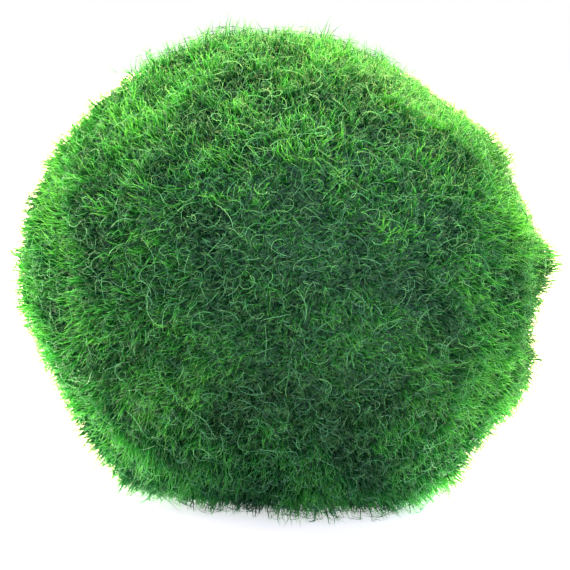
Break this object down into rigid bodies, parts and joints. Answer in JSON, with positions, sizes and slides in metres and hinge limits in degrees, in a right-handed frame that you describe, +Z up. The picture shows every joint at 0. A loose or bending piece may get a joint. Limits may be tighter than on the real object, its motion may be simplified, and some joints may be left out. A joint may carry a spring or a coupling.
{
  "type": "marimo moss ball",
  "caption": "Round felted ball of fine green alga filaments with a soft tufted nap, slightly flattened where it rests.",
  "frame": {"origin": "middle of the footprint's box, at the resting spot's height", "axes": "+Z up; -Y is the side that the picture shows; +X to the right of that side"},
  "size_m": [0.0556, 0.0534, 0.0476],
  "materials": {
    "moss": "matte nap of fine fibres, soft and wet green"
  },
  "bodies": {
    "root": {"moss_ball": "moss"}
  },
  "joints": []
}
